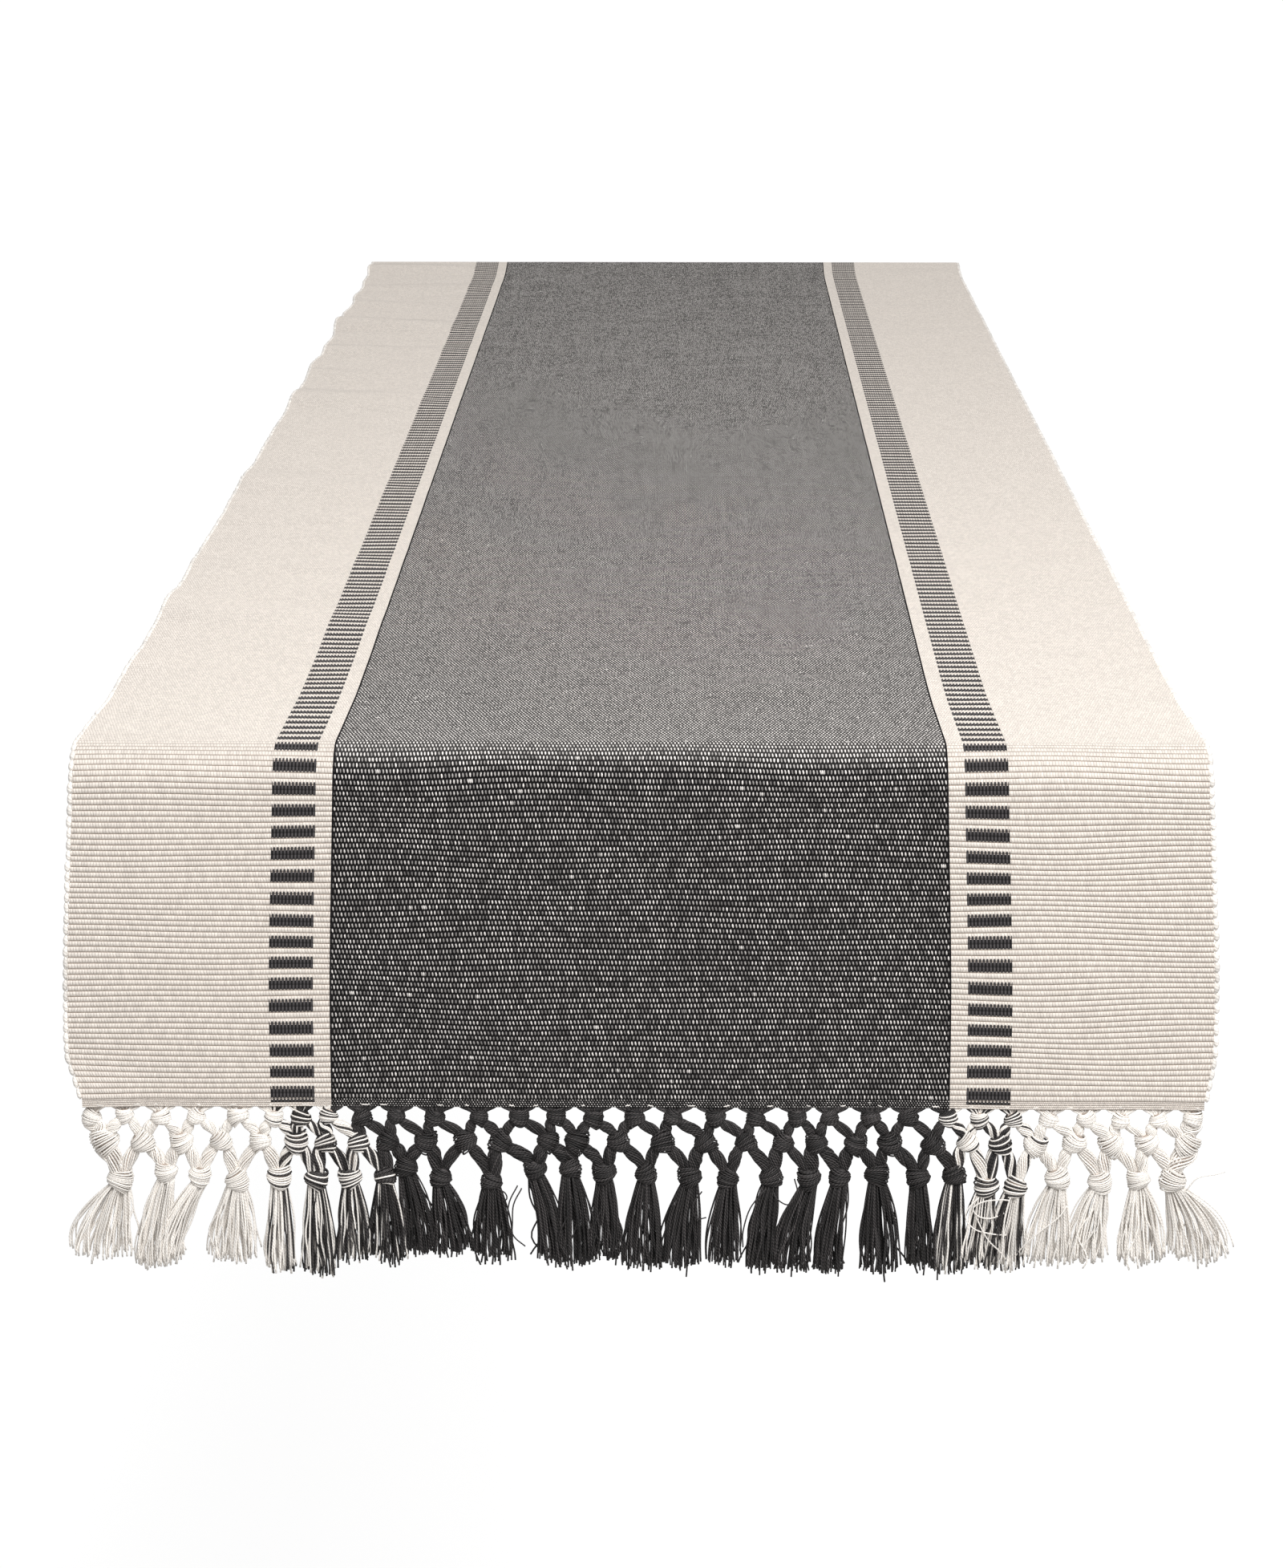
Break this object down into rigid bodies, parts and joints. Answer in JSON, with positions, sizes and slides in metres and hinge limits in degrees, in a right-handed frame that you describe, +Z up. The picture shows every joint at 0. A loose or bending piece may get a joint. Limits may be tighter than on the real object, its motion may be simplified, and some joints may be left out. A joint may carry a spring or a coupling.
{
  "type": "table runner",
  "caption": "Draped woven table runner with ribbed cloth, striped warp bands and a knotted net fringe with tassels at both ends.",
  "frame": {"origin": "centre of the underside of the flat part, where the runner rests on the table top", "axes": "+Y along the runner's length, from the front drop to the back drop; +X to the right across its width; +Z up, out of the table top"},
  "size_m": [0.4062, 1.4664, 0.193],
  "materials": {
    "natural_cotton": "undyed ivory cotton, matt, ribbed",
    "dashed_cotton": "ivory cotton with short black warp dashes, matt, ribbed",
    "pepper_cotton": "charcoal and ivory pepper weave, matt, ribbed",
    "mixed_cotton": "ivory and charcoal cotton yarns knotted together, matt",
    "charcoal_cotton": "charcoal cotton yarn, matt"
  },
  "bodies": {
    "runner_top": {"left_border_top": "natural_cotton", "left_dash_band_top": "dashed_cotton", "left_stripe_top": "natural_cotton", "centre_panel_top": "pepper_cotton", "right_stripe_top": "natural_cotton", "right_dash_band_top": "dashed_cotton", "right_border_top": "natural_cotton", "left_selvedge_top": "natural_cotton", "right_selvedge_top": "natural_cotton"},
    "front_drop": {"left_border_front_drop": "natural_cotton", "left_dash_band_front_drop": "dashed_cotton", "left_stripe_front_drop": "natural_cotton", "centre_panel_front_drop": "pepper_cotton", "right_stripe_front_drop": "natural_cotton", "right_dash_band_front_drop": "dashed_cotton", "right_border_front_drop": "natural_cotton", "left_selvedge_front_drop": "natural_cotton", "right_selvedge_front_drop": "natural_cotton", "front_header": "natural_cotton"},
    "front_net": {"front_net_natural_left": "natural_cotton", "front_net_mixed_left": "mixed_cotton", "front_net_charcoal": "charcoal_cotton", "front_net_mixed_right": "mixed_cotton", "front_net_natural_right": "natural_cotton"},
    "front_tassels": {"front_tassels_natural_left": "natural_cotton", "front_tassels_mixed_left": "mixed_cotton", "front_tassels_charcoal": "charcoal_cotton", "front_tassels_mixed_right": "mixed_cotton", "front_tassels_natural_right": "natural_cotton"},
    "back_drop": {"left_border_back_drop": "natural_cotton", "left_dash_band_back_drop": "dashed_cotton", "left_stripe_back_drop": "natural_cotton", "centre_panel_back_drop": "pepper_cotton", "right_stripe_back_drop": "natural_cotton", "right_dash_band_back_drop": "dashed_cotton", "right_border_back_drop": "natural_cotton", "left_selvedge_back_drop": "natural_cotton", "right_selvedge_back_drop": "natural_cotton", "back_header": "natural_cotton"},
    "back_net": {"back_net_natural_left": "natural_cotton", "back_net_mixed_left": "mixed_cotton", "back_net_charcoal": "charcoal_cotton", "back_net_mixed_right": "mixed_cotton", "back_net_natural_right": "natural_cotton"},
    "back_tassels": {"back_tassels_natural_left": "natural_cotton", "back_tassels_mixed_left": "mixed_cotton", "back_tassels_charcoal": "charcoal_cotton", "back_tassels_mixed_right": "mixed_cotton", "back_tassels_natural_right": "natural_cotton"}
  },
  "joints": [
    {"name": "front_drop_fold", "type": "hinge", "parent": "runner_top", "child": "front_drop", "pos_m": [0, -0.72521, -0.00179], "axis": [-1, 0, 0], "range_deg": [0, 90]},
    {"name": "front_net_swing", "type": "hinge", "parent": "front_drop", "child": "front_net", "pos_m": [0, -0.728, -0.1321], "axis": [-1, 0, 0], "range_deg": [-45, 60]},
    {"name": "front_tassel_swing", "type": "hinge", "parent": "front_net", "child": "front_tassels", "pos_m": [0, -0.728, -0.1616], "axis": [-1, 0, 0], "range_deg": [-60, 60]},
    {"name": "back_drop_fold", "type": "hinge", "parent": "runner_top", "child": "back_drop", "pos_m": [0, 0.72521, -0.00179], "axis": [1, 0, 0], "range_deg": [0, 90]},
    {"name": "back_net_swing", "type": "hinge", "parent": "back_drop", "child": "back_net", "pos_m": [0, 0.728, -0.1321], "axis": [1, 0, 0], "range_deg": [-45, 60]},
    {"name": "back_tassel_swing", "type": "hinge", "parent": "back_net", "child": "back_tassels", "pos_m": [0, 0.728, -0.1616], "axis": [1, 0, 0], "range_deg": [-60, 60]}
  ]
}
